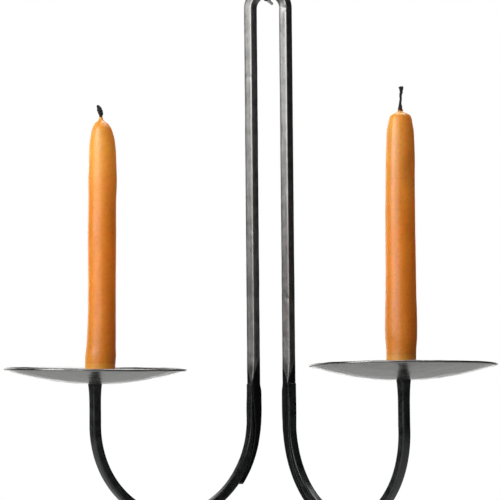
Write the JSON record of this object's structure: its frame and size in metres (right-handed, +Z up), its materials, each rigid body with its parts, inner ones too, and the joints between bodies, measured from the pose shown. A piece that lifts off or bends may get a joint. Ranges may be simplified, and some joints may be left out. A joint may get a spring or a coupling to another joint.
{
  "type": "wall sconce candle holder",
  "caption": "Hairpin of forged square bar that hangs on a wall nail, with curved arms, dished drip pans, candle spikes and tapered wax candles.",
  "frame": {"origin": "on the wall nail's axis where it enters the wall", "axes": "+Y into the wall along the nail, +Z up, +X to the right as seen from the front"},
  "size_m": [0.3731, 0.1984, 0.4251],
  "materials": {
    "nail_steel": "dark oxide",
    "black_bar": "satin black over forged steel",
    "black_arm": "satin black over forged steel",
    "black_pan": "satin black over sheet steel",
    "spike_steel": "satin black",
    "candle_wax": "hand-dipped amber wax",
    "burnt_wick": "charred cotton"
  },
  "bodies": {
    "nail": {"wall_nail": "nail_steel"},
    "frame": {"hairpin_hanger": "black_bar", "left_arm": "black_arm", "right_arm": "black_arm", "left_drip_pan": "black_pan", "right_drip_pan": "black_pan", "left_spike": "spike_steel", "right_spike": "spike_steel"},
    "left_candle_body": {"left_candle": "candle_wax", "left_wick": "burnt_wick"},
    "right_candle_body": {"right_candle": "candle_wax", "right_wick": "burnt_wick"}
  },
  "joints": [
    {"name": "frame_swing", "type": "hinge", "parent": "nail", "child": "frame", "pos_m": [0, -0.0065, 0], "axis": [0, 1, 0], "range_deg": [-12, 12]},
    {"name": "left_candle_lift", "type": "slide", "parent": "frame", "child": "left_candle_body", "axis": [0.0209, -0.0349, 0.9992], "range_m": [0, 0.03]},
    {"name": "right_candle_lift", "type": "slide", "parent": "frame", "child": "right_candle_body", "axis": [0, 0.0105, 0.9999], "range_m": [0, 0.03]}
  ]
}
